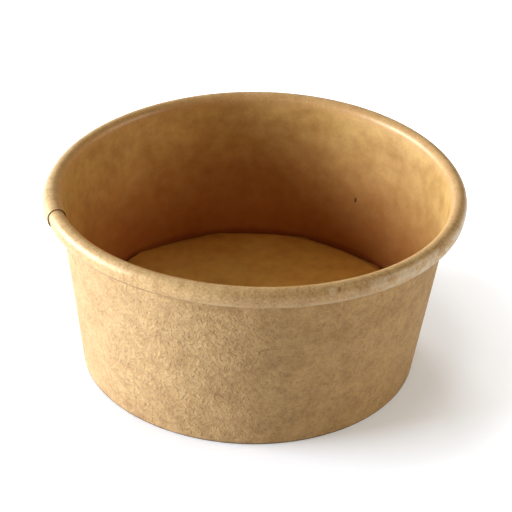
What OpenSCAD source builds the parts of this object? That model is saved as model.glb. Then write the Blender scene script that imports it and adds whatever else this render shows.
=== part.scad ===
// Kraft portion cup: a conical board sleeve, lapped and glued, with a rolled rim and a
// turned-in foot that clasps the skirt of a recessed floor disc.
// Millimetres. The cup stands on z = 0 and its axis is the z axis.

/* [Cup] */
// Outside diameter across the rolled rim
rim_d = 75; // [68:0.5:90]
// Outside diameter of the sleeve at the table
foot_d = 61; // [50:0.5:66]
// Overall height
cup_h = 35; // [26:0.5:60]
// Height of the floor's upper face above the table
floor_h = 7; // [5:0.1:12]

/* [Board] */
// Thickness of the kraft board
board = 0.3; // [0.2:0.05:0.5]
// Glue line between the sleeve, the floor's skirt and the hem
glue_line = 0.03; // [0.01:0.01:0.1]

/* [Rolled rim] */
// Width of the roll
roll_w = 2.9; // [2:0.1:3.2]
// Height of the roll
roll_h = 3.4; // [3.2:0.1:4.5]
// Slit between the sleeve and the turn of the roll that comes back to it
roll_slit = 0.15; // [0.05:0.05:0.4]
// Length of the free edge that stands up inside the roll
roll_tail = 0.8; // [0.2:0.1:1.2]

/* [Foot] */
// Radius of the bend at the edge of the floor, outside
floor_bend = 0.8; // [0.7:0.1:1.5]
// Space between the hem's upper edge and the underside of the floor
hem_gap = 1.2; // [0.9:0.1:2.5]
// Space between the skirt's lower edge and the fold that closes round it
skirt_gap = 0.4; // [0.1:0.1:1.5]

/* [Lap] */
// Width of the glued overlap, as an angle round the cup
lap_angle = 10; // [5:0.5:20]
// Direction in which the overlap's free edge lies, turned from +X
lap_edge = 203; // [0:1:360]
// Step by which the overlap stands proud of the single board
lap_step = 0.2; // [0.1:0.05:0.4]
// Space between the overlap's lower end and the floor
lap_gap = 0.1; // [0.05:0.05:0.5]

/* [Hidden] */
$fn = 144;

rim_r = rim_d / 2;
foot_r = foot_d / 2;
roll_r = roll_w / 2;

// The sleeve's outer face runs from the foot to a tangent on the core of the roll,
// and the sleeve leans out by that line's angle.
core_r = roll_r - board;
roll_top = [rim_r - roll_r, cup_h - roll_r];
reach = [roll_top.x - foot_r, roll_top.y];
lean = atan2(reach.x, reach.y) - asin(core_r / norm(reach));

// Unit vectors out of the sleeve and up along it
out_dir = [cos(lean), -sin(lean)];
up_dir = [sin(lean), cos(lean)];

// The lower turn of the roll is narrower, because it closes outside the sleeve.
turn_r = (roll_w - board - roll_slit) / 2;
turn_y = cup_h - roll_h + turn_r;
roll_drop = (roll_top.y + (roll_r - turn_r) * out_dir.y - turn_y) / up_dir.y;

// The foot is a fold of three boards: sleeve, skirt and hem.
pocket = board + 2 * glue_line;
foot_w = 2 * board + pocket;
hem_h = floor_h - board - hem_gap;

// The overlap's strip reaches down to the middle of the board that it is glued to.
lap_root = board / 2;

// Radius at height z of the line that lies depth inside the sleeve's outer face
function face_r(z, depth) = foot_r + z * tan(lean) - depth / cos(lean);

// Point that lies so far out of and up the sleeve from the middle of the roll's top
function roll_at(out, up) = roll_top + out * out_dir + up * up_dir;

// Strip of sleeve between two depths, from height z up to the roll
module sleeve_strip(z, near, far) {
    polygon([
        [face_r(z, near), z],
        roll_at(-core_r - near, 0),
        roll_at(-core_r - far, 0),
        [face_r(z, far), z]
    ]);
}

// The part of a ring that lies in a window with this lower left corner and size
module ring_in(outer, inner, corner, size) {
    intersection() {
        difference() {
            circle(outer);
            circle(inner);
        }
        translate(corner) square(size);
    }
}

// One layer of the roll. proud is how far its outer face stands out of the plain board's,
// thick is its thickness, and whole says whether it closes and ends inside the roll.
module roll_layer(proud, thick, whole) {
    top = roll_r + proud;
    turn = turn_r + proud;
    from_x = whole ? -turn : 0;
    translate(roll_top) rotate(-lean) {
        ring_in(top, top - thick, [-top, 0], [2 * top, top]);
        translate([top - thick, -roll_drop]) square([thick, roll_drop]);
        translate([roll_r - turn_r, -roll_drop]) {
            ring_in(turn, turn - thick, [from_x, -turn], [turn - from_x, turn]);
            if (whole) translate([-turn, 0]) square([thick, roll_tail]);
        }
    }
}

// Outline of the folded foot with its two lower edges rounded by one board
module foot_outline() {
    outer = [face_r(board, board), board];
    inner = [face_r(board, foot_w - board), board];
    polygon([
        [outer.x, 0],
        outer + board * out_dir,
        [face_r(hem_h, 0), hem_h],
        [face_r(hem_h, foot_w), hem_h],
        inner - board * out_dir,
        [inner.x, 0]
    ]);
    translate(outer) circle(board);
    translate(inner) circle(board);
}

// The folded foot with the pocket that holds the floor's skirt
module foot_section() {
    difference() {
        foot_outline();
        polygon([
            [face_r(board, board), board],
            [face_r(floor_h, board), floor_h],
            [face_r(floor_h, board + pocket), floor_h],
            [face_r(board, board + pocket), board]
        ]);
    }
}

// Outline of the floor and its bent edge, moved inwards from the outer face by depth, with
// its skirt down to height low
module floor_outline(depth, low) {
    bend = floor_bend - depth;
    side = board + glue_line + depth;
    middle = [face_r(floor_h - floor_bend, board + glue_line + floor_bend), floor_h - floor_bend];
    polygon([
        [0, low],
        [face_r(low, side), low],
        middle + bend * out_dir,
        [middle.x, floor_h - depth],
        [0, floor_h - depth]
    ]);
    translate(middle) circle(bend);
}

// Sleeve with its folded foot, its rolled rim and its glued overlap
module side_wall() {
    color([0.78, 0.62, 0.42]) {
        rotate_extrude() {
            sleeve_strip(board, 0, board);
            foot_section();
            roll_layer(0, board, true);
        }
        rotate_extrude(angle = lap_angle, start = lap_edge - lap_angle) {
            sleeve_strip(floor_h + lap_gap, lap_root, board + lap_step);
            roll_layer(lap_step, lap_step + lap_root, false);
        }
    }
}

// Floor with its edge bent down into the skirt
module base_disc() {
    color([0.72, 0.52, 0.32]) rotate_extrude() difference() {
        floor_outline(0, board + skirt_gap);
        floor_outline(board, board);
    }
}

side_wall();
base_disc();
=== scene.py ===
# %% [markdown]
# # A kraft portion cup
#
# The real object is a small round cup of brown paperboard, such as a kitchen fills with soup or
# sauce. It is made of two blanks: a curved strip that is wrapped into a cone, lapped and glued,
# and a round floor whose edge is bent down into a skirt. The strip's upper edge is rolled
# outwards into a rim, and its lower edge is folded inwards round the skirt.
#
# The CAD model already holds both pieces as exact solids. They could be shown as they are, with
# a better material, but a real cup is never quite round and its lap never quite flush. So the
# CAD solids are loaded as a fixed frame, and each blank is made again here as what it is: one
# sheet that is bent along a section and given its thickness last.

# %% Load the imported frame
import math

import bpy
import numpy as np
from mathutils import Matrix, Vector


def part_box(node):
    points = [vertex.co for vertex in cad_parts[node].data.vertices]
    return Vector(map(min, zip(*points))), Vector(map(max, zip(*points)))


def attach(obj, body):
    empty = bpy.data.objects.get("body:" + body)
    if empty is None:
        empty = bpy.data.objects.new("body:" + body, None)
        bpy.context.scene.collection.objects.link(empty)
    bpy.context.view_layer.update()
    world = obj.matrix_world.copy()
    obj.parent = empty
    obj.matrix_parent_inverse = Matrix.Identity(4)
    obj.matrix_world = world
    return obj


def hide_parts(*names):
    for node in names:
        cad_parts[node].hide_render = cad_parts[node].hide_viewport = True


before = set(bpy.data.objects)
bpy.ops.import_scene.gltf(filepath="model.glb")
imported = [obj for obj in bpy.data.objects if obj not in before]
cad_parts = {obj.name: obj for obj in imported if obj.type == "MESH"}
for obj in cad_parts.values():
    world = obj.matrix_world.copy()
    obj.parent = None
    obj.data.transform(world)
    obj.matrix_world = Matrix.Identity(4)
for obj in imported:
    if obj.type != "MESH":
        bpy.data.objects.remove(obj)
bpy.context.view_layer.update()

print("CAD nodes:", sorted(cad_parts))

# %% [markdown]
# ## Sizes
#
# Every piece is drawn from the same sizes as the CAD model, so nothing has to be fitted by eye.
# The rim's radius and the floor's height are read from the boxes of the CAD nodes. The others
# are written down once, in millimetres, because a section is easier to read that way, and the
# meshes are scaled to metres when they are made.

# %% Sizes of the cup and of its board
MM = 0.001
RIM_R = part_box("side_wall")[1].x / MM
FLOOR_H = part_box("base_disc")[1].z / MM
FOOT_R = 30.5
CUP_H = 35.0
BOARD = 0.3
GLUE_LINE = 0.03
ROLL_W = 2.9
ROLL_H = 3.4
ROLL_SLIT = 0.15
ROLL_TAIL = 0.8
FLOOR_BEND = 0.5
HEM_GAP = 1.2
SKIRT_GAP = 0.4
print("rim radius", round(RIM_R, 2), "mm, floor height", round(FLOOR_H, 2), "mm")

# %% Lines that the section follows
HALF = BOARD / 2
ROLL_R = ROLL_W / 2
CORE_R = ROLL_R - BOARD
ROLL_TOP = np.array([RIM_R - ROLL_R, CUP_H - ROLL_R])
REACH = ROLL_TOP - np.array([FOOT_R, 0.0])
LEAN = math.atan2(REACH[0], REACH[1]) - math.asin(CORE_R / np.hypot(*REACH))
OUT = np.array([math.cos(LEAN), -math.sin(LEAN)])
UP = np.array([math.sin(LEAN), math.cos(LEAN)])
TURN_R = (ROLL_W - BOARD - ROLL_SLIT) / 2
TURN_Y = CUP_H - ROLL_H + TURN_R
ROLL_DROP = (ROLL_TOP[1] + (ROLL_R - TURN_R) * OUT[1] - TURN_Y) / UP[1]
HEM_DEPTH = 2 * BOARD + 2 * GLUE_LINE + HALF
HEM_H = FLOOR_H - BOARD - HEM_GAP


def face_r(z, depth):
    """Radius at height z of the line that lies depth inside the sleeve's outer face"""
    return FOOT_R + z * math.tan(LEAN) - depth / math.cos(LEAN)


print("the wall leans out by", round(math.degrees(LEAN), 2), "degrees")

# %% [markdown]
# ## Camera
#
# The picture looks down on the cup from just above its rim. The camera's pitch, its small roll
# and its distance were found by laying the cup's own circles over the outline in the picture.
# A long lens is set, so the near and the far rim differ only a little in size. The camera is
# made first, because everything after it is judged through it.

# %% Camera
PITCH = 0.5364
ROLL = 0.0539
AIM = Vector((0.3611, 0.0, 19.4845)) * MM
DISTANCE = 272.2144 * MM
SENSOR = 36.0
LENS = SENSOR * 1500 / 512

forward = Vector((0.0, math.cos(PITCH), -math.sin(PITCH)))
level_right = Vector((1.0, 0.0, 0.0))
level_up = Vector((0.0, math.sin(PITCH), math.cos(PITCH)))
right = math.cos(ROLL) * level_right + math.sin(ROLL) * level_up
up = math.cos(ROLL) * level_up - math.sin(ROLL) * level_right
camera_data = bpy.data.cameras.new("camera")
camera_data.sensor_width = SENSOR
camera_data.lens = LENS
camera_data.clip_start = 0.01
camera = bpy.data.objects.new("camera", camera_data)
bpy.context.scene.collection.objects.link(camera)
turned = Matrix((right, up, -forward)).transposed()
camera.matrix_world = Matrix.Translation(AIM - DISTANCE * forward) @ turned.to_4x4()
bpy.context.scene.camera = camera
print("camera at", [round(x / MM, 1) for x in camera.matrix_world.translation], "mm")

# %% [markdown]
# ## Writing node trees as sums
#
# Both the shapes and the finishes here are node trees. A tree could be wired by hand in the
# editor, or one link at a time in code, but then nobody can see what it works out. A small
# class that stands for one socket lets the arithmetic be written as Python sums: each operator
# adds one Math node. Every other node comes from one method, which takes the node's type, its
# settings and then the values or links of its sockets.

# %% A socket that can be used in sums
def pick(sockets, key):
    """A socket by its place in the list, by its identifier, or by its name if it is in use"""
    if isinstance(key, int):
        return sockets[key]
    for socket in sockets:
        if socket.identifier == key:
            return socket
    for socket in sockets:
        if socket.enabled and socket.name == key:
            return socket
    raise KeyError(key)


class Wire:
    """One output socket. Sums on it add Math nodes to its tree."""

    def __init__(self, tree, socket):
        self.tree = tree
        self.socket = socket

    def out(self, key):
        """Another output of the same node"""
        return Wire(self.tree, pick(self.socket.node.outputs, key))

    def math(self, operation, *values):
        """A Math node on these values"""
        return self.tree.node("ShaderNodeMath", {"operation": operation}, dict(enumerate(values)))

    def __add__(self, other):
        return self.math("ADD", self, other)

    def __radd__(self, other):
        return self.math("ADD", other, self)

    def __sub__(self, other):
        return self.math("SUBTRACT", self, other)

    def __rsub__(self, other):
        return self.math("SUBTRACT", other, self)

    def __mul__(self, other):
        return self.math("MULTIPLY", self, other)

    def __rmul__(self, other):
        return self.math("MULTIPLY", other, self)

    def __truediv__(self, other):
        return self.math("DIVIDE", self, other)

    def __abs__(self):
        return self.math("ABSOLUTE", self)

    def cos(self):
        """Cosine of an angle in radians"""
        return self.math("COSINE", self)

    def sin(self):
        """Sine of an angle in radians"""
        return self.math("SINE", self)

    def rise(self, low, high):
        """0 below low, 1 above high, and a smooth step between them"""
        return self.tree.node(
            "ShaderNodeMapRange",
            {"interpolation_type": "SMOOTHSTEP"},
            {"Value": self, "From Min": low, "From Max": high},
        )


# %% A tree that is filled with nodes
class Tree:
    """A node tree and the one method that adds any node to it"""

    def __init__(self, node_tree):
        self.node_tree = node_tree

    def node(self, kind, settings=None, values=None):
        """Adds a node, makes its settings, fills its sockets and gives its first output"""
        made = self.node_tree.nodes.new(kind)
        for name, value in (settings or {}).items():
            setattr(made, name, value)
        for key, value in (values or {}).items():
            socket = pick(made.inputs, key)
            if isinstance(value, Wire):
                self.node_tree.links.new(value.socket, socket)
            else:
                socket.default_value = value
        shown = [socket for socket in made.outputs if socket.enabled]
        return Wire(self, shown[0]) if shown else None


print("a Wire stands for a socket, and a Tree adds nodes")

# %% [markdown]
# ## The sections
#
# A section is the line that the middle of the board follows, seen in a cut through the cup's
# axis. The sleeve's line starts at the upper edge of the hem under the floor, goes down, round
# the fold at the table, up the wall, over the roll and back up inside it. It could be drawn by
# hand, but here it is made of straight stretches and arcs from the sizes above.
#
# Each point also carries what happens to it in the glued lap, where the sheet lies double:
# "over" is how far the inner layer moves, and "under" how far the outer layer does. Two more
# numbers tell how far along the board the point is, and how freely the board may waver there.

# %% Stretches and arcs of a section
def stretch(start, end, count):
    """Points on a straight line, without its last"""
    share = np.linspace(0.0, 1.0, count, endpoint=False)[:, None]
    return np.asarray(start) * (1 - share) + np.asarray(end) * share


def arc(middle, radius, first, last, count):
    """Points on an arc in the leaning frame of the wall, between two angles in degrees"""
    turn = np.radians(np.linspace(first, last, count, endpoint=False))[:, None]
    return middle + radius * (np.cos(turn) * OUT + np.sin(turn) * UP)


FOLD_BEND = 0.2
DOWN = math.degrees(LEAN) - 90
FOLD_Z = HALF + FOLD_BEND
inner_fold = np.array([face_r(FOLD_Z, HEM_DEPTH - FOLD_BEND), FOLD_Z])
outer_fold = np.array([face_r(FOLD_Z, HALF + FOLD_BEND), FOLD_Z])
turn_middle = ROLL_TOP + (ROLL_R - TURN_R) * OUT - ROLL_DROP * UP
wall_top = ROLL_TOP - (ROLL_R - HALF) * OUT

# %% Section of the sleeve
sleeve_parts = [
    ("hem", stretch([face_r(HEM_H, HEM_DEPTH), HEM_H], inner_fold - FOLD_BEND * OUT, 6)),
    ("hem", arc(inner_fold, FOLD_BEND, 180, 360 + DOWN, 5)),
    ("foot", stretch([inner_fold[0], HALF], [outer_fold[0], HALF], 2)),
    ("wall", arc(outer_fold, FOLD_BEND, DOWN, 0, 5)),
    ("wall", stretch(outer_fold + FOLD_BEND * OUT, wall_top, 34)),
    ("roll", arc(ROLL_TOP, ROLL_R - HALF, 180, 0, 18)),
    ("roll", stretch(ROLL_TOP + (ROLL_R - HALF) * OUT, turn_middle + (TURN_R - HALF) * OUT, 2)),
    ("turn", arc(turn_middle, TURN_R - HALF, 0, -180, 14)),
    ("turn", stretch(turn_middle - (TURN_R - HALF) * OUT,
                     turn_middle - (TURN_R - HALF) * OUT + ROLL_TAIL * UP, 3)),
]
sleeve_line = np.concatenate([points for _, points in sleeve_parts])
sleeve_where = sum([[name] * len(points) for name, points in sleeve_parts], [])
print("the sleeve's section has", len(sleeve_line), "points")

# %% What the lap does to the sleeve's section
LAP_IN = 0.22
LAP_OUT = 0.10
LAP_NEST = LAP_IN + LAP_OUT
NEST_UP_TO = 4.0


def roll_normal(point):
    """Direction out of the roll's middle at a point of the section"""
    low = float(np.clip((point - ROLL_TOP) @ UP, -ROLL_DROP, 0.0))
    middle = ROLL_TOP + low * UP - low / ROLL_DROP * (ROLL_R - TURN_R) * OUT
    away = point - middle
    return away / np.hypot(*away)


def lap_moves(point, where):
    """How far the inner and the outer layer of the lap move at a point of the sleeve"""
    lifted = np.array([0.0, LAP_NEST * max(0.0, 1 - point[1] / NEST_UP_TO)])
    if where in ("roll", "turn"):
        return LAP_IN * roll_normal(point), -LAP_OUT * roll_normal(point)
    inwards = -LAP_IN * OUT + lifted
    if where == "wall":
        return inwards, LAP_OUT * OUT
    return inwards, -(LAP_IN + LAP_NEST) * OUT


sleeve_moves = np.array([lap_moves(p, w) for p, w in zip(sleeve_line, sleeve_where)])

# %% Section of the floor and its skirt
SKIRT_DEPTH = BOARD + GLUE_LINE + HALF
SKIRT_LOW = BOARD + SKIRT_GAP
bend_z = FLOOR_H - FLOOR_BEND
bend_middle = np.array([face_r(bend_z, BOARD + GLUE_LINE + FLOOR_BEND), bend_z])
floor_z = FLOOR_H - HALF
floor_parts = [
    ("skirt", stretch([face_r(SKIRT_LOW, SKIRT_DEPTH), SKIRT_LOW],
                      bend_middle + (FLOOR_BEND - HALF) * OUT, 24)),
    ("bend", arc(bend_middle, FLOOR_BEND - HALF, 0, 90 + math.degrees(LEAN), 8)),
    ("floor", stretch([bend_middle[0], floor_z], [0.0, floor_z], 42)),
    ("floor", np.array([[0.0, floor_z]])),
]
floor_line = np.concatenate([points for _, points in floor_parts])
floor_where = sum([[name] * len(points) for name, points in floor_parts], [])
floor_moves = np.zeros((len(floor_line), 2, 2))
floor_moves[np.array(floor_where) == "skirt"] = -LAP_IN * OUT
print("the floor's section has", len(floor_line), "points")

# %% A section as an object with its numbers on its points
def section_object(name, line, moves, start_at, waver):
    """A chain of edges in the x-z plane that the tree can read"""
    mesh = bpy.data.meshes.new(name)
    points = np.zeros((len(line), 3))
    points[:, [0, 2]] = line
    mesh.from_pydata((points * MM).tolist(), [(i, i + 1) for i in range(len(line) - 1)], [])
    for label, index in (("over", 0), ("under", 1)):
        vectors = np.zeros((len(line), 3))
        vectors[:, [0, 2]] = moves[:, index] * MM
        layer = mesh.attributes.new(label, "FLOAT_VECTOR", "POINT")
        layer.data.foreach_set("vector", vectors.ravel())
    steps = np.hypot(*np.diff(line, axis=0).T)
    along = np.concatenate([[0.0], np.cumsum(steps)])
    along = along - along[start_at]
    for label, numbers in (("along", along), ("waver", waver)):
        layer = mesh.attributes.new(label, "FLOAT", "POINT")
        layer.data.foreach_set("value", np.asarray(numbers, float))
    made = bpy.data.objects.new(name, mesh)
    bpy.context.scene.collection.objects.link(made)
    return made


# %% [markdown]
# ## From a section to a sheet
#
# The section is swept round the axis. A Screw modifier would do that for a perfect turned part,
# but this cup is a little oval, its rim rises and falls by a fraction of a millimetre, and the
# sheet laps over itself. So a Geometry Nodes tree lays a flat grid of points: its columns
# become angles and its rows become points of the section. Everything that depends on the angle
# is then one formula. The tree also stores where each point lies on the flat sheet, in
# millimetres, so that fibres and marks follow the board round the cone and over the roll.
#
# Two inputs are there for how board behaves. "Fold" pulls the edge of the floor in between
# evenly spaced corners, and "Pressed edge" says over which angle the lap's free edge gets thin.

# %% Inputs of the tree
SHEET_INPUTS = [
    ("Section", "NodeSocketObject"),
    ("Columns", "NodeSocketInt"),
    ("Rows", "NodeSocketInt"),
    ("Start", "NodeSocketFloat"),
    ("Sweep", "NodeSocketFloat"),
    ("Over from", "NodeSocketFloat"),
    ("Under to", "NodeSocketFloat"),
    ("Ramp", "NodeSocketFloat"),
    ("Height", "NodeSocketFloat"),
    ("Rim oval", "NodeSocketFloat"),
    ("Rim oval at", "NodeSocketFloat"),
    ("Foot oval", "NodeSocketFloat"),
    ("Foot oval at", "NodeSocketFloat"),
    ("Saddle", "NodeSocketFloat"),
    ("Saddle at", "NodeSocketFloat"),
    ("Waver", "NodeSocketFloat"),
    ("Waver middle", "NodeSocketFloat"),
    ("Fold", "NodeSocketFloat"),
    ("Fold every", "NodeSocketFloat"),
    ("Fold at", "NodeSocketFloat"),
    ("Waver per turn", "NodeSocketFloat"),
    ("Waver seed", "NodeSocketFloat"),
    ("Round mm", "NodeSocketFloat"),
    ("Pressed edge", "NodeSocketFloat"),
    ("Material", "NodeSocketMaterial"),
]
WAVER_UP_WALL = 60
WAVER_LIFT = 0.1
PRESSED_AWAY = 0.7
SAME_POINT = 0.001 * MM


def oval(angle, share, at):
    """Factor by which a radius grows and shrinks twice in a turn"""
    return 1 + share * (2 * (angle - at)).cos()


# %% The turned sheet tree
def turned_sheet_tree():
    """Builds the tree that turns a section into a sheet"""
    group = bpy.data.node_groups.new("turned_sheet", "GeometryNodeTree")
    for name, kind in SHEET_INPUTS:
        group.interface.new_socket(name, in_out="INPUT", socket_type=kind)
    group.interface.new_socket("Sheet", in_out="OUTPUT", socket_type="NodeSocketGeometry")
    tree = Tree(group)
    given = tree.node("NodeGroupInput")
    size = {name: given.out(name) for name, _ in SHEET_INPUTS}

    grid = tree.node("GeometryNodeMeshGrid", {}, {
        "Size X": 1.0, "Size Y": 1.0, "Vertices X": size["Columns"], "Vertices Y": size["Rows"]})
    place = tree.node("ShaderNodeSeparateXYZ", {}, {0: tree.node("GeometryNodeInputPosition")})
    angle = size["Start"] + (place.out("X") + 0.5) * size["Sweep"]
    row = (place.out("Y") + 0.5) * (size["Rows"] - 1)
    row = row.math("ROUND", row)

    line = tree.node("GeometryNodeObjectInfo", {}, {"Object": size["Section"]}).out("Geometry")

    def read(kind, value):
        """A value of the section's point that this row stands for"""
        settings = {"data_type": kind, "domain": "POINT"}
        return tree.node("GeometryNodeSampleIndex", settings,
                         {"Geometry": line, "Value": value, "Index": row})

    def named(kind, name):
        """A named value of the section"""
        return tree.node("GeometryNodeInputNamedAttribute", {"data_type": kind}, {"Name": name})

    def scaled(vector, share):
        """A vector times a number"""
        return tree.node("ShaderNodeVectorMath", {"operation": "SCALE"}, {0: vector, "Scale": share})

    over_share = (angle - size["Over from"] + size["Ramp"]).rise(0.0, size["Ramp"])
    under_share = (size["Under to"] + size["Ramp"] - angle).rise(0.0, size["Ramp"])
    point = read("FLOAT_VECTOR", tree.node("GeometryNodeInputPosition"))
    over = scaled(read("FLOAT_VECTOR", named("FLOAT_VECTOR", "over")), over_share)
    under = scaled(read("FLOAT_VECTOR", named("FLOAT_VECTOR", "under")), under_share)
    moved = tree.node("ShaderNodeVectorMath", {"operation": "ADD"}, {0: point, 1: over})
    moved = tree.node("ShaderNodeVectorMath", {"operation": "ADD"}, {0: moved, 1: under})
    section = tree.node("ShaderNodeSeparateXYZ", {}, {0: moved})

    share = section.out("Z") / size["Height"]
    ring = tree.node("ShaderNodeCombineXYZ", {}, {
        "X": angle.cos() * size["Waver per turn"],
        "Y": angle.sin() * size["Waver per turn"],
        "Z": section.out("Z") * WAVER_UP_WALL + size["Waver seed"]})
    drift = tree.node("ShaderNodeTexNoise", {}, {"Vector": ring, "Scale": 1.0, "Detail": 1.0})
    flat = angle.math("PINGPONG", angle - size["Fold at"], size["Fold every"] / 2)
    flat = 1 - flat / (size["Fold every"] / 2)
    drift = (drift - size["Waver middle"]) * size["Waver"] - (1 - flat * flat) * size["Fold"]
    drift = drift * read("FLOAT", named("FLOAT", "waver"))
    foot = oval(angle, size["Foot oval"], size["Foot oval at"])
    rim = oval(angle, size["Rim oval"], size["Rim oval at"])
    radius = section.out("X") * (foot + share * (rim - foot)) + drift
    saddle = share * size["Saddle"] * (2 * (angle - size["Saddle at"])).cos()
    target = tree.node("ShaderNodeCombineXYZ", {}, {
        "X": radius * angle.cos(),
        "Y": radius * angle.sin(),
        "Z": section.out("Z") + saddle + WAVER_LIFT * drift})
    sheet = tree.node("ShaderNodeCombineXYZ", {}, {
        "X": angle * size["Round mm"],
        "Y": read("FLOAT", named("FLOAT", "along")),
        "Z": 0.0})

    stored = tree.node("GeometryNodeStoreNamedAttribute",
                       {"data_type": "FLOAT_VECTOR", "domain": "POINT"},
                       {"Geometry": grid, "Name": "sheet", "Value": sheet})
    edge = 1 - (size["Start"] + size["Sweep"] - angle).rise(0.0, size["Pressed edge"])
    stored = tree.node("GeometryNodeStoreNamedAttribute", {"data_type": "FLOAT", "domain": "POINT"},
                       {"Geometry": stored, "Name": "thin", "Value": edge * PRESSED_AWAY})
    bent = tree.node("GeometryNodeSetPosition", {}, {"Geometry": stored, "Position": target})
    closed = tree.node("GeometryNodeMergeByDistance", {}, {"Geometry": bent, "Distance": SAME_POINT})
    real = tree.node("GeometryNodeRealizeInstances", {}, {"Geometry": closed})
    done = tree.node("GeometryNodeSetMaterial", {}, {"Geometry": real, "Material": size["Material"]})
    tree.node("NodeGroupOutput", {}, {"Sheet": done})
    return group


sheet_tree = turned_sheet_tree()
print("the sheet tree has", len(sheet_tree.nodes), "nodes")

# %% [markdown]
# ## Plain meshes and the board's thickness
#
# A modifier's result has to become a plain mesh before the piece is tied to the cup, because
# the export reads meshes. The thickness comes from Solidify, on both sides of the middle line.
# It gives each side and the cut edge a finish of its own: rough kraft outside, the smooth
# coated face inside, and the darker raw edge of the board.

# %% From a tree to a plain mesh
SHARP_FROM = math.radians(50)


def plain_mesh(host):
    """Puts the evaluated mesh in place of the object's own and takes its modifiers off"""
    graph = bpy.context.evaluated_depsgraph_get()
    graph.update()
    made = bpy.data.meshes.new_from_object(host.evaluated_get(graph))
    host.modifiers.clear()
    host.data = made
    return host


def turned_sheet(name, section, inputs):
    """A sheet of no thickness, bent along a section"""
    host = bpy.data.objects.new(name, bpy.data.meshes.new(name))
    bpy.context.scene.collection.objects.link(host)
    modifier = host.modifiers.new("turned_sheet", "NODES")
    modifier.node_group = sheet_tree
    inputs = {**inputs, "Section": section, "Rows": len(section.data.vertices)}
    for item in sheet_tree.interface.items_tree:
        if item.in_out == "INPUT":
            modifier[item.identifier] = inputs[item.name]
    plain_mesh(host)
    bpy.data.objects.remove(section)
    return host


def give_thickness(host, finishes):
    """Turns a sheet into board: front, back and cut edge take one finish each"""
    for finish in finishes[1:]:
        host.data.materials.append(finish)
    board = host.modifiers.new("board", "SOLIDIFY")
    board.thickness = BOARD * MM
    board.offset = 0.0
    board.use_even_offset = True
    board.use_quality_normals = True
    board.material_offset = 1
    board.material_offset_rim = 2
    thin = np.zeros(len(host.data.vertices))
    host.data.attributes["thin"].data.foreach_get("value", thin)
    group = host.vertex_groups.new(name="board")
    group.add(list(range(len(thin))), 1.0, "REPLACE")
    for index in np.flatnonzero(thin > 0.001):
        group.add([int(index)], float(1 - thin[index]), "REPLACE")
    board.vertex_group = group.name
    plain_mesh(host)
    host.data.polygons.foreach_set("use_smooth", [True] * len(host.data.polygons))
    host.data.set_sharp_from_angle(angle=SHARP_FROM)
    host.data.name = host.name
    return host


# %% [markdown]
# ## Kraft board
#
# The outside of the board is bare kraft paper. Seen close, it has cloudy lighter and darker
# areas where the pulp settled, a fine grain, short curved creases, pale fibres and a few specks.
# The face inside the cup is coated, so it is smoother and has a slight gloss. A picture of paper
# could be wrapped round the cup, but it would repeat and tie the model to one image. So each
# layer is a noise with its own grain size, read in millimetres of the flat sheet. Most of them
# are a low relief too, because low light from the side shows paper by its shadows.

# %% Noises that the finishes share
def sheet_point(tree):
    """Where a point lies on the flat sheet, in millimetres"""
    return tree.node("ShaderNodeAttribute", {"attribute_name": "sheet"}).out("Vector")


def object_point(tree):
    """Where a point lies in the cup's own frame, in millimetres"""
    place = tree.node("ShaderNodeTexCoord").out("Object")
    return tree.node("ShaderNodeVectorMath", {"operation": "SCALE"}, {0: place, "Scale": 1 / MM})


def shifted(tree, point, seed):
    """The same pattern at another place"""
    return tree.node("ShaderNodeVectorMath", {"operation": "ADD"},
                     {0: point, 1: (seed * 17.3, seed * 9.1, seed * 5.7)})


def noise(tree, point, size, seed, detail=2.0, roughness=0.5):
    """Soft noise whose blobs are about this many millimetres"""
    return tree.node("ShaderNodeTexNoise", {}, {
        "Vector": shifted(tree, point, seed), "Scale": 1 / size,
        "Detail": detail, "Roughness": roughness})


def stretched(tree, point, degrees, length, width):
    """The point in units of a fibre's length and width, along its direction"""
    return tree.node("ShaderNodeMapping", {"vector_type": "TEXTURE"}, {
        "Vector": point, "Rotation": (0.0, 0.0, math.radians(degrees)),
        "Scale": (length, width, 1.0)})


def squiggles(tree, point, size, seed, reach, width=0.05):
    """Short curved lines, where one noise crosses its middle and another allows it"""
    field = noise(tree, point, size, seed, detail=1.0)
    ridge = 1 - abs(field - 0.5).rise(0.0, width)
    allowed = noise(tree, point, size * 0.6, seed + 3, detail=0.0).rise(reach, reach + 0.08)
    return ridge * allowed


def fibres(tree, point, seed, length, width, reach):
    """Short straight fibres in three directions"""
    total = None
    for number, degrees in enumerate((12, 71, 133)):
        base = shifted(tree, point, seed + number)
        field = tree.node("ShaderNodeTexNoise", {}, {
            "Vector": stretched(tree, base, degrees, length, width), "Scale": 1.0, "Detail": 1.0})
        layer = field.rise(reach, reach + 0.09)
        total = layer if total is None else total.math("MAXIMUM", total, layer)
    return total


def blend(tree, share, first, second):
    """A colour between two others"""
    return tree.node("ShaderNodeMix", {"data_type": "RGBA"}, {
        "Factor_Float": share, "A_Color": first, "B_Color": second}).out("Result_Color")


def layered(tree, base, layers):
    """A colour with others laid over it in turn, each by its share"""
    for share, tint in layers:
        base = blend(tree, share, base, tint)
    return base


def colour(red, green, blue):
    """A colour written as it is seen, as the renderer's linear values"""
    seen = np.array([red, green, blue]) / 255
    linear = np.where(seen <= 0.04045, seen / 12.92, ((seen + 0.055) / 1.055) ** 2.4)
    return (*[float(x) for x in linear], 1.0)


# %% A finish and its surface
def new_finish(name):
    """A material with an empty tree"""
    material = bpy.data.materials.new(name)
    material.use_nodes = True
    material.node_tree.nodes.clear()
    return material, Tree(material.node_tree)


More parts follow.
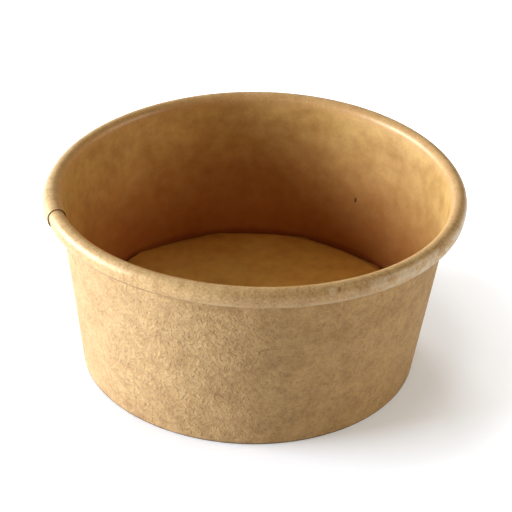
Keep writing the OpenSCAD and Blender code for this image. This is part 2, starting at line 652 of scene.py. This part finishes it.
def finish_surface(tree, base, height, distance, strength, rough, fixed):
    """Ends a finish: its colour, its bumps in metres and its roughness"""
    normal = tree.node("ShaderNodeBump", {}, {
        "Height": height, "Distance": distance, "Strength": strength})
    surface = tree.node("ShaderNodeBsdfPrincipled", {}, {
        "Base Color": base, "Roughness": rough, "Normal": normal, **fixed})
    tree.node("ShaderNodeOutputMaterial", {}, {"Surface": surface})


# %% Marks at one place of the sheet
ROUND_MM = 34.0
WALL_TOP = float(np.hypot(*(wall_top - outer_fold)))
FLOOR_R = face_r(FLOOR_H, BOARD)
LIP_AT = WALL_TOP + math.pi * (ROLL_R - HALF) + ROLL_DROP + 0.75


def at_azimuth(degrees):
    """How far round the sheet a direction lies, in millimetres"""
    return math.radians(degrees) * ROUND_MM


def local(tree, point, degrees, along, length, width, turn=0.0):
    """The point as seen from a place on the sheet, in units of a mark's length and width"""
    return tree.node("ShaderNodeMapping", {"vector_type": "TEXTURE"}, {
        "Vector": point, "Location": (at_azimuth(degrees), along, 0.0),
        "Rotation": (0.0, 0.0, math.radians(turn)), "Scale": (length, width, 1.0)})


def distance(tree, vector):
    """Length of a vector"""
    return tree.node("ShaderNodeVectorMath", {"operation": "LENGTH"}, {0: vector}).out("Value")


def spot(tree, point, degrees, along, length, width, turn=0.0):
    """A soft oval mark"""
    return 1 - distance(tree, local(tree, point, degrees, along, length, width, turn)).rise(0.5, 1.0)


def curl(tree, point, degrees, along, length, width, line, turn=0.0):
    """A fibre that lies in an open loop"""
    near = local(tree, point, degrees, along, length, width, turn)
    ring = 1 - abs(distance(tree, near) - 1).rise(0.0, line)
    place = tree.node("ShaderNodeSeparateXYZ", {}, {0: near})
    return ring * place.out("Y").rise(-0.5, 0.0) * (1 - place.out("X").rise(0.0, 0.9))


# %% Bare kraft
KRAFT_DARK = colour(168, 125, 71)
KRAFT_LIGHT = colour(225, 182, 121)
KRAFT_DEEP = colour(132, 82, 28)
KRAFT_PALE = colour(240, 216, 176)
# Painted shadow: the colour of the dark line along the foot
FOOT_SHADOW_PAINT = colour(84, 60, 38)


def bare_kraft(name, read_point):
    """The uncoated face of the board"""
    material, tree = new_finish(name)
    point = read_point(tree)
    cloud = noise(tree, point, 6.0, 1, detail=1.0)
    blotch = noise(tree, point, 2.2, 4, detail=2.0)
    grain = noise(tree, point, 0.36, 2, detail=1.0)
    lumps = noise(tree, point, 0.9, 43, detail=1.0)
    clumps = fibres(tree, point, 41, 2.0, 0.6, 0.5)
    flecks = noise(tree, point, 0.66, 6, detail=1.0).rise(0.62, 0.74)
    dots = noise(tree, point, 0.40, 8, detail=0.0).rise(0.76, 0.84)
    tone = 0.48 + (cloud - 0.5) * 0.6 + (blotch - 0.5) * 0.85 + (grain - 0.5) * 0.26
    tone = tone + (lumps - 0.5) * 0.6 + clumps * 0.10
    dark_lines = squiggles(tree, point, 1.5, 3, 0.52)
    dark_lines = dark_lines.math("MAXIMUM", dark_lines, squiggles(tree, point, 0.9, 23, 0.54))
    pale_lines = squiggles(tree, point, 1.5, 14, 0.50, 0.09)
    pale_lines = pale_lines.math("MAXIMUM", pale_lines, squiggles(tree, point, 1.0, 34, 0.52, 0.09))
    dark_fibres = fibres(tree, point, 5, 0.9, 0.17, 0.63)
    pale_fibres = fibres(tree, point, 9, 0.8, 0.17, 0.64)
    smudge = spot(tree, point, 233, 2.5, 9.0, 3.2) + 0.8 * spot(tree, point, 252, 3.0, 8.0, 3.0)
    smudge = smudge * noise(tree, point, 1.4, 12, detail=3.0).rise(0.42, 0.66)
    up_sheet = tree.node("ShaderNodeSeparateXYZ", {}, {0: point}).out("Y")
    # Painted shadow: a dark line along the foot, where the cup stands on the table.
    painted_foot_shadow = 1 - up_sheet.rise(0.28, 0.52)
    loop = curl(tree, point, 276.5, 20.9, 2.2, 0.9, 0.14)
    hair = curl(tree, point, 326.8, 28.2, 1.6, 0.5, 0.30, 20)
    base = blend(tree, tone, KRAFT_DARK, KRAFT_LIGHT)
    base = layered(tree, base, [
        (dark_lines * 0.12, KRAFT_DEEP),
        (flecks * 0.22, KRAFT_DEEP),
        (dark_fibres * 0.26, KRAFT_DEEP),
        (smudge * 0.35, KRAFT_DEEP),
        (painted_foot_shadow * 0.75, FOOT_SHADOW_PAINT),
        (pale_lines * 0.05, KRAFT_PALE),
        (pale_fibres * 0.15, KRAFT_PALE),
        (dots * 0.5, KRAFT_PALE),
        (loop * 0.5, KRAFT_DEEP),
        (hair * 0.7, KRAFT_PALE),
    ])
    height = grain * 0.32 + blotch * 1.2 + lumps * 1.2 + clumps * 0.3 + pale_fibres * 0.4
    height = height + pale_lines * 0.5 + loop * 0.8 - dark_lines * 0.35 - flecks * 0.4
    rough = 0.66 - 0.1 * pale_fibres
    finish_surface(tree, base, height, 0.105 * MM, 1.0, rough,
                   {"Specular IOR Level": 0.25, "Sheen Weight": 0.10, "Sheen Roughness": 0.5})
    return material


# %% Coated kraft
COAT_DARK = colour(152, 102, 38)
COAT_LIGHT = colour(228, 184, 106)
ROLL_DARK = colour(166, 119, 64)
ROLL_LIGHT = colour(228, 185, 123)
# Painted shade colour that deepens the inside towards the floor
DEPTH_SHADE_PAINT = colour(165, 80, 4)
# Painted shade colour for the crease round the floor's edge
CREASE_SHADE_PAINT = colour(132, 44, 6)
# Painted light bounced up from the table, with some whitening of the tight bend, on the roll's lower
# turn
LIP_BOUNCE_AND_WHITENING = colour(226, 194, 144)
WORN_LIGHT = colour(232, 214, 186)
SHOULDER_DARK = colour(196, 142, 78)
SPECK_DARK = colour(84, 44, 10)
FLOOR_LIGHT = colour(246, 190, 88)
FLOOR_DARK = colour(198, 130, 40)
EDGE_DARK = colour(96, 66, 38)
EDGE_LIGHT = colour(140, 102, 62)


def coated_kraft(name, read_point, dark, light, mottled):
    """The smooth face that holds the food"""
    material, tree = new_finish(name)
    point = read_point(tree)
    cloud = noise(tree, point, 8.0, 21, detail=2.0)
    mottle = noise(tree, point, 2.4, 24, detail=4.0)
    grain = noise(tree, point, 0.6, 22, detail=2.0)
    streaks = tree.node("ShaderNodeTexNoise", {}, {
        "Vector": stretched(tree, point, 0, 2.6, 1.2), "Scale": 1.0, "Detail": 2.0})
    tone = 0.5 + (cloud - 0.5) * 0.7 + (mottle - 0.5) * mottled
    tone = tone + (grain - 0.5) * 0.25 + (streaks - 0.5) * 0.1
    height = mottle * 0.8 + grain * 0.3
    return material, tree, point, cloud, blend(tree, tone, dark, light), height


# %% The inside of the sleeve, which shows again on the roll
def sleeve_inside(name):
    """Coated kraft, paler and rougher on the strained roll, with painted shade low down and painted
    light and shade on the roll's lower turn
    """
    made = coated_kraft(name, sheet_point, COAT_DARK, COAT_LIGHT, 0.7)
    material, tree, point, cloud, base, height = made
    round_sheet = tree.node("ShaderNodeSeparateXYZ", {}, {0: point})
    up_sheet = round_sheet.out("Y")
    on_roll = up_sheet.rise(WALL_TOP - 1.2, WALL_TOP + 0.8)
    streaks = tree.node("ShaderNodeTexNoise", {}, {
        "Vector": stretched(tree, point, 90, 2.4, 1.1), "Scale": 1.0, "Detail": 3.0})
    crackle = noise(tree, point, 0.38, 26, detail=1.0)
    patches = noise(tree, point, 3.0, 27, detail=1.0)
    tone = 0.60 + (streaks - 0.5) * 0.8 + (crackle - 0.5) * 1.2 + (patches - 0.5) * 0.7
    roll_colour = blend(tree, tone, ROLL_DARK, ROLL_LIGHT)
    # Painted light bounced up from the table, with some whitening of the tight bend: a pale band on
    # the roll's lower turn, at the front only.
    lip_bounce_and_whitening = 1 - abs(up_sheet - LIP_AT).rise(0.15, 0.7)
    lip_bounce_and_whitening = lip_bounce_and_whitening * noise(tree, point, 4.0, 28, detail=2.0).rise(0.3, 0.6)
    lip_bounce_and_whitening = lip_bounce_and_whitening * round_sheet.rise(at_azimuth(252), at_azimuth(266))
    # Painted shade: the underside of the roll's lower turn is darker on the left.
    under = up_sheet.rise(LIP_AT - 0.26, LIP_AT)
    under = under * (1 - round_sheet.rise(at_azimuth(240), at_azimuth(262)))
    worn = noise(tree, point, 1.8, 29, detail=3.0).rise(0.38, 0.56)
    worn = worn * up_sheet.rise(WALL_TOP + 2.6, WALL_TOP + 3.8)
    worn = worn * round_sheet.rise(at_azimuth(288), at_azimuth(320))
    worn = worn * (1 - round_sheet.rise(at_azimuth(372), at_azimuth(405)))
    shoulder = 1 - up_sheet.rise(WALL_TOP + 1.2, WALL_TOP + 2.6)
    roll_colour = layered(tree, roll_colour, [
        (lip_bounce_and_whitening * 0.5, LIP_BOUNCE_AND_WHITENING),
        (under * 0.65, KRAFT_DEEP),
        (worn * 0.6, WORN_LIGHT),
        (shoulder * 0.55, SHOULDER_DARK),
    ])
    base = blend(tree, on_roll, base, roll_colour)
    # Painted shade: the inside turns darker and redder towards the floor.
    painted_depth_shade = 1 - up_sheet.rise(FLOOR_H, FLOOR_H + 28.0)
    # Painted shade in the crease where the wall meets the floor.
    low = 1 - up_sheet.rise(FLOOR_H, FLOOR_H + 0.9)
    speck = spot(tree, point, 360 + 54.2, 17.5, 0.40, 0.68)
    blemish = spot(tree, point, 290.0, LIP_AT - 2.1, 0.8, 0.7)
    fleck = spot(tree, point, 291.8, LIP_AT - 2.2, 0.34, 0.5, 20)
    base = layered(tree, base, [
        (painted_depth_shade * 0.72, DEPTH_SHADE_PAINT),
        (low * 0.4, CREASE_SHADE_PAINT),
        (speck * 0.9, SPECK_DARK),
        (blemish * 0.5, KRAFT_PALE),
        (fleck * 0.6, KRAFT_DEEP),
    ])
    height = height + on_roll * (streaks * 0.5 + crackle * 0.4)
    rough = 0.50 + (cloud - 0.5) * 0.2 - on_roll * 0.09
    finish_surface(tree, base, height, 0.05 * MM, 0.8, rough, {"Specular IOR Level": 0.5})
    return material


# %% The floor's face
def floor_face(name):
    """The coated face of the disc"""
    made = coated_kraft(name, object_point, FLOOR_DARK, FLOOR_LIGHT, 0.8)
    material, tree, point, cloud, base, height = made
    flat = tree.node("ShaderNodeVectorMath", {"operation": "MULTIPLY"}, {0: point, 1: (1.0, 1.0, 0.0)})
    # Painted shade in the crease round the floor's edge.
    edge = distance(tree, flat).rise(FLOOR_R - 1.3, FLOOR_R - 0.5)
    base = blend(tree, edge * 0.5, base, CREASE_SHADE_PAINT)
    rough = 0.48 + (cloud - 0.5) * 0.2
    finish_surface(tree, base, height, 0.05 * MM, 0.4, rough, {"Specular IOR Level": 0.5})
    return material


# %% Raw edge of the board
def raw_edge(name):
    """The cut edge, where the brown core shows"""
    material, tree = new_finish(name)
    point = object_point(tree)
    grain = noise(tree, point, 0.15, 31, detail=2.0)
    base = blend(tree, grain, EDGE_DARK, EDGE_LIGHT)
    finish_surface(tree, base, grain, 0.03 * MM, 0.5, 0.9, {"Specular IOR Level": 0.2})
    return material


kraft_outside = bare_kraft("kraft_outside", sheet_point)
kraft_inside = sleeve_inside("kraft_inside")
kraft_edge = raw_edge("kraft_edge")
coated_floor = floor_face("coated_floor")
print("finishes:", [m.name for m in (kraft_outside, kraft_inside, kraft_edge, coated_floor)])

# %% [markdown]
# ## The sleeve
#
# One strip of board makes the wall, the folded foot and the rolled rim. It starts at the left,
# where the outer layer of the lap ends, goes once round and ends ten degrees further on, on top
# of its own beginning. A step as thick as the board would show as a heavy line there, but on a
# real cup the free edge is pressed thin, so the last three degrees get thinner. The numbers for
# the oval and the saddle were found together with the camera: the cup in the picture is two to
# three per cent out of round.

# %% Sleeve
LAP_START = math.radians(193)
LAP_END = math.radians(203)
FULL = 2 * math.pi
OUT_OF_ROUND = {
    "Over from": LAP_START + FULL,
    "Under to": LAP_END,
    "Ramp": math.radians(14),
    "Height": CUP_H * MM,
    "Rim oval": 0.0282,
    "Rim oval at": 0.9997,
    "Foot oval": 0.0159,
    "Foot oval at": 0.6651,
    "Saddle": 0.3948 * MM,
    "Saddle at": 1.3413,
    "Round mm": ROUND_MM,
    "Pressed edge": math.radians(3),
}
sleeve_waver = [{"hem": 0.3, "foot": 0.0, "wall": 0.6, "roll": 1.0, "turn": 1.0}[w]
                for w in sleeve_where]
foot_index = sleeve_where.index("wall")
sleeve_section = section_object("sleeve_section", sleeve_line, sleeve_moves, foot_index, sleeve_waver)
sleeve = turned_sheet("kraft_sleeve", sleeve_section, {
    **OUT_OF_ROUND, "Columns": 420, "Start": LAP_START, "Sweep": LAP_END + FULL - LAP_START,
    "Waver": 0.12 * MM, "Waver middle": 0.5, "Waver per turn": 1.6, "Waver seed": 4.0,
    "Fold": 0.0, "Fold every": 1.0, "Fold at": 0.0, "Material": kraft_outside})
give_thickness(sleeve, [kraft_outside, kraft_inside, kraft_edge])
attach(sleeve, "root")
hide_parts("side_wall")
print("sleeve:", len(sleeve.data.polygons), "faces")

# %% [markdown]
# ## The floor
#
# The floor is a disc whose edge is bent down into a skirt, and the sleeve's hem clasps the
# skirt from below. A flat disc would do for the part that shows, but from underneath the bend
# and the skirt can be seen too. It is swept by the same tree, with its section starting at the
# skirt's lower edge and ending on the axis.
#
# Board doesn't bend evenly along a circle. It gives way in short straight folds, and in the
# picture the floor's edge has blunt corners. So the bend gets eleven sides, and it wavers a
# little besides. The skirt is held by the hem, so only what stands above the hem moves.
#
# The disc shares the sleeve's table of sizes, so its sheet gets thin over three degrees at its
# seam too. A real disc has no seam, and this shallow groove is a leftover.

# %% Floor disc
FREE_BELOW_BEND = 0.3
WAVER_REACH = 5.0
free_from = bend_z - FREE_BELOW_BEND
floor_waver = np.clip((floor_line[:, 1] - free_from) / (floor_z - free_from), 0.0, 1.0)
on_floor = np.array([w == "floor" for w in floor_where])
inwards = (bend_middle[0] - floor_line[on_floor, 0]) / WAVER_REACH
floor_waver[on_floor] = np.clip(1 - inwards, 0.0, 1.0) ** 2
floor_section = section_object("floor_section", floor_line, floor_moves, 0, floor_waver)
disc = turned_sheet("kraft_floor", floor_section, {
    **OUT_OF_ROUND, "Columns": 289, "Start": LAP_END, "Sweep": FULL,
    "Waver": 0.8 * MM, "Waver middle": 0.45, "Waver per turn": 3.0, "Waver seed": 9.0,
    "Fold": 0.95 * MM, "Fold every": FULL / 11, "Fold at": math.radians(72), "Material": coated_floor})
give_thickness(disc, [coated_floor, coated_floor, kraft_edge])
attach(disc, "root")
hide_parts("base_disc")
print("floor:", len(disc.data.polygons), "faces")

# %% [markdown]
# ## Table and light
#
# The cup stands on a white table that runs out of the picture. The table has to look pure white
# and still show the shadow. More light would burn out the pale board, so the table itself adds a
# little white, for the camera and for reflections only. It adds more away from the cup, which is
# painted light that makes the cup's shadow fade out sooner.
#
# The light in the picture comes low from the left, cool as from a window, and the side in shade
# is warm, as if lit by walls. One lamp could be window and reflection at once, but then the
# roll's highlight sets the lamp's size. So the window is two panels: one lights, and a longer
# one is only mirrored in the gloss of the roll. A small cool panel behind adds daylight from
# there. Warm panels at the right and in front stand for the walls, and a weak one overhead
# lights the floor of the cup.

# %% Table
TABLE_COLOUR = (0.8, 0.778, 0.73, 1.0)
TABLE_HALF = 1.5
GLOW_MIDDLE = (3.3, 6.0, 0.0)
GLOW_LEAST = 0.27
GLOW_STEPS = [(32.3, 44.0, 0.18), (41.7, 59.0, 0.20), (60.0, 90.0, 0.15)]


def white_table():
    """A large white plane that counts as stage"""
    material, tree = new_finish("table_white")
    rays = tree.node("ShaderNodeLightPath")
    seen = rays.math("MAXIMUM", rays.out("Is Camera Ray"), rays.out("Is Glossy Ray"))
    seen = seen.math("MAXIMUM", seen, rays.out("Is Transmission Ray"))
    matt = tree.node("ShaderNodeBsdfDiffuse", {}, {"Color": TABLE_COLOUR})
    beside = tree.node("ShaderNodeVectorMath", {"operation": "SUBTRACT"}, {
        0: object_point(tree), 1: GLOW_MIDDLE})
    away = distance(tree, beside)
    # Painted light: the glow grows with distance from a point near the cup's axis and lightens the
    # outer part of the shadow.
    white = GLOW_LEAST
    for near, far, more in GLOW_STEPS:
        white = white + away.rise(near, far) * more
    glow = tree.node("ShaderNodeEmission", {}, {"Color": white, "Strength": seen})
    both = tree.node("ShaderNodeAddShader", {}, {0: matt, 1: glow})
    tree.node("ShaderNodeOutputMaterial", {}, {"Surface": both})
    half = TABLE_HALF
    mesh = bpy.data.meshes.new("table")
    corners = [(-half, -half, 0.0), (half, -half, 0.0), (half, half, 0.0), (-half, half, 0.0)]
    mesh.from_pydata(corners, [], [(0, 1, 2, 3)])
    mesh.materials.append(material)
    made = bpy.data.objects.new("table", mesh)
    bpy.context.scene.collection.objects.link(made)
    return made


table = white_table()

# %% World and lamps
AMBIENT = 0.06
LAMP_AWAY = 0.9
world = bpy.data.worlds.new("white_room")
bpy.context.scene.world = world
world.use_nodes = True
world.node_tree.nodes.clear()
room = Tree(world.node_tree)
ray = room.node("ShaderNodeLightPath")
looks = ray.math("MAXIMUM", ray.out("Is Camera Ray"), ray.out("Is Transmission Ray"))
strength = AMBIENT + looks * (1 - AMBIENT)
sky = room.node("ShaderNodeBackground", {}, {"Color": (1.0, 1.0, 1.0, 1.0), "Strength": strength})
room.node("ShaderNodeOutputWorld", {}, {"Surface": sky})


def soft_lamp(name, azimuth, elevation, wide, high, level, tint, lights=True, mirrored=True):
    """A panel that lights a face turned to it to about this level"""
    data = bpy.data.lights.new(name, "AREA")
    data.shape = "RECTANGLE"
    data.size = wide
    data.size_y = high
    data.color = tint
    data.energy = level * math.pi ** 2 * LAMP_AWAY ** 2
    lamp = bpy.data.objects.new(name, data)
    turn = math.radians(azimuth)
    rise = math.radians(elevation)
    away = Vector((math.cos(turn) * math.cos(rise), math.sin(turn) * math.cos(rise), math.sin(rise)))
    lamp.location = away * LAMP_AWAY + Vector((0.0, 0.0, CUP_H / 2 * MM))
    lamp.rotation_mode = "QUATERNION"
    lamp.rotation_quaternion = away.to_track_quat("Z", "Y")
    lamp.visible_camera = False
    lamp.visible_diffuse = lights
    lamp.visible_glossy = mirrored
    bpy.context.scene.collection.objects.link(lamp)
    return lamp


DAYLIGHT = (0.94, 1.02, 1.18)
BLUE_DAYLIGHT = (0.95, 1.09, 1.37)
WARM = (1.0, 0.84, 0.56)
PALE_WARM = (1.0, 0.95, 0.81)
CREAM = (1.0, 0.96, 0.88)
soft_lamp("window", azimuth=189, elevation=14, wide=0.55, high=0.40, level=1.86,
          tint=BLUE_DAYLIGHT, mirrored=False)
soft_lamp("window_shine", azimuth=176, elevation=14, wide=0.80, high=0.45, level=2.80,
          tint=CREAM, lights=False)
soft_lamp("window_behind", azimuth=111, elevation=13, wide=0.35, high=0.30, level=0.80,
          tint=DAYLIGHT, mirrored=False)
soft_lamp("wall_right", azimuth=0, elevation=20, wide=0.40, high=0.40, level=0.37, tint=PALE_WARM)
soft_lamp("wall_front", azimuth=275, elevation=16, wide=0.50, high=0.40, level=0.075, tint=WARM)
soft_lamp("ceiling", azimuth=100, elevation=62, wide=0.60, high=0.60, level=0.20,
          tint=DAYLIGHT, mirrored=False)

# %% View
bpy.context.scene.view_settings.view_transform = "Standard"
